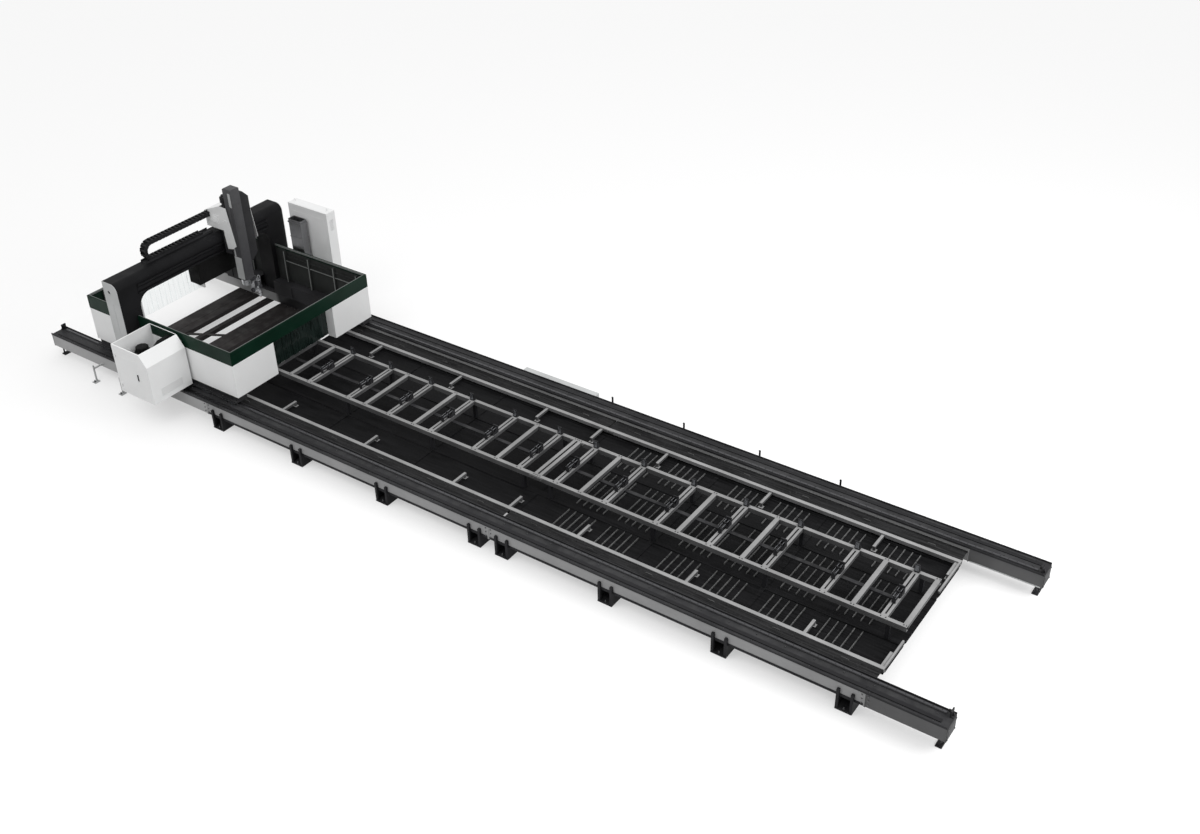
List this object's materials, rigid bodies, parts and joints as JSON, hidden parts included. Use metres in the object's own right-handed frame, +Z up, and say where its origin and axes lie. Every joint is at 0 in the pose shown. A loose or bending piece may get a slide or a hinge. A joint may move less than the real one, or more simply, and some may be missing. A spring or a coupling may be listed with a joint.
{
  "type": "gantry laser beam cutting machine",
  "caption": "Long rail-guided gantry cutting line: clamping bed between two floor rails, open-topped hood with cross slide, vertical ram and tilting laser head.",
  "frame": {"origin": "on the floor, midway along the rails and midway between them", "axes": "+X along the rails away from the parked gantry, +Y across the bed towards the long energy chain, +Z up"},
  "size_m": [17.15, 4.5525, 3.05],
  "materials": {
    "girder": "satin grey paint",
    "girder_dark": "dark grey satin paint",
    "cap": "dark satin paint",
    "frame_dark": "dark satin paint",
    "beam_black": "black satin paint",
    "guide_steel": "ground steel",
    "magnet_track": "grey coated cover strip",
    "bed_light": "light grey satin paint",
    "sheet_dark": "dark sheet",
    "rib_grey": "worn grey sheet",
    "jaw_dark": "dark satin paint",
    "light_metal": "light grey satin paint",
    "chain": "black moulded plastic",
    "bumper": "black rubber",
    "panel_white": "white powder coat",
    "band_green": "very dark green paint",
    "lining": "dark lining sheet",
    "bar_brown": "dark brown-grey paint",
    "duct": "matt black",
    "curtain": "dark green flexible strip",
    "gear": "grey switchgear",
    "pipe_grey": "grey sheet",
    "block_steel": "ground steel",
    "slide_dark": "dark satin paint",
    "ram_grey": "dark grey satin paint",
    "head_silver": "satin aluminium",
    "nozzle": "turned copper alloy"
  },
  "bodies": {
    "floor_frame": {"rail_girders": "girder", "end_girders": "girder_dark", "rail_caps": "cap", "x_guides": "guide_steel", "x_tracks": "magnet_track", "rail_feet": "frame_dark", "slim_feet": "light_metal", "end_stands": "frame_dark", "end_stops": "frame_dark", "bumpers": "bumper", "cross_ties": "bar_brown", "bed_crossbeams": "frame_dark", "edge_tubes": "bed_light", "ladder_tubes": "bed_light", "plain_members": "bed_light", "clamp_members": "bed_light", "cover_sheets": "sheet_dark", "side_trays": "sheet_dark", "middle_trays": "sheet_dark", "tray_ribs": "rib_grey", "fixed_stops": "jaw_dark", "chain_trough": "sheet_dark", "trough_brackets": "frame_dark", "junction_box": "light_metal", "x_chain": "chain"},
    "gantry": {"base_plates": "slide_dark", "side_beams": "slide_dark", "guide_blocks": "block_steel", "portal": "beam_black", "leg_cheeks": "light_metal", "y_guides": "guide_steel", "beam_tray": "light_metal", "y_chain": "chain", "duct_box": "duct", "side_panels": "panel_white", "end_panels": "panel_white", "rim_band": "band_green", "inner_lining": "lining", "curtain_rails": "slide_dark", "curtain_strips": "curtain", "near_cabinet": "panel_white", "cabinet_gear": "gear", "far_cabinet": "panel_white", "extraction_riser": "pipe_grey"},
    "near_door": {"near_door": "panel_white"},
    "far_door": {"far_door": "panel_white"},
    "cross_slide": {"saddle_blocks": "block_steel", "saddle_plate": "slide_dark", "saddle_cover": "panel_white", "z_drive": "slide_dark"},
    "ram": {"ram": "ram_grey", "ram_side_cover": "slide_dark", "ram_plate": "light_metal", "z_guides": "guide_steel"},
    "swivel": {"head_swivel": "head_silver"},
    "cutting_head": {"head_tilt": "head_silver", "nozzle": "nozzle"},
    "jaws_left": {"jaws_left": "jaw_dark"},
    "jaws_right": {"jaws_right": "jaw_dark"}
  },
  "joints": [
    {"name": "gantry_x", "type": "slide", "parent": "floor_frame", "child": "gantry", "axis": [1, 0, 0], "range_m": [-1, 12.4], "deforming": ["x_chain", "curtain_strips"]},
    {"name": "cross_slide_y", "type": "slide", "parent": "gantry", "child": "cross_slide", "axis": [0, 1, 0], "range_m": [-1.5, 0.5], "deforming": ["y_chain"]},
    {"name": "ram_z", "type": "slide", "parent": "cross_slide", "child": "ram", "axis": [0, 0, 1], "range_m": [0, 0.55]},
    {"name": "head_c", "type": "hinge", "parent": "ram", "child": "swivel", "pos_m": [-5.85, 0.55, 1.3], "axis": [0, 0, 1], "range_deg": [-180, 180]},
    {"name": "head_a", "type": "hinge", "parent": "swivel", "child": "cutting_head", "pos_m": [-5.85, 0.7154, 1.01], "axis": [0, 1, 0], "range_deg": [-90, 90]},
    {"name": "near_door_hinge", "type": "hinge", "parent": "gantry", "child": "near_door", "pos_m": [-5.761, -2.458, 1], "axis": [0, 0, 1], "range_deg": [-110, 0]},
    {"name": "far_door_hinge", "type": "hinge", "parent": "gantry", "child": "far_door", "pos_m": [-5.886, 2.068, 1.4], "axis": [0, 0, 1], "range_deg": [0, 110]},
    {"name": "clamp_left", "type": "slide", "parent": "floor_frame", "child": "jaws_left", "axis": [0, 1, 0], "range_m": [-0.38, 0.46]},
    {"name": "clamp_right", "type": "slide", "parent": "floor_frame", "child": "jaws_right", "axis": [0, 1, 0], "range_m": [-0.38, 0.46]}
  ]
}
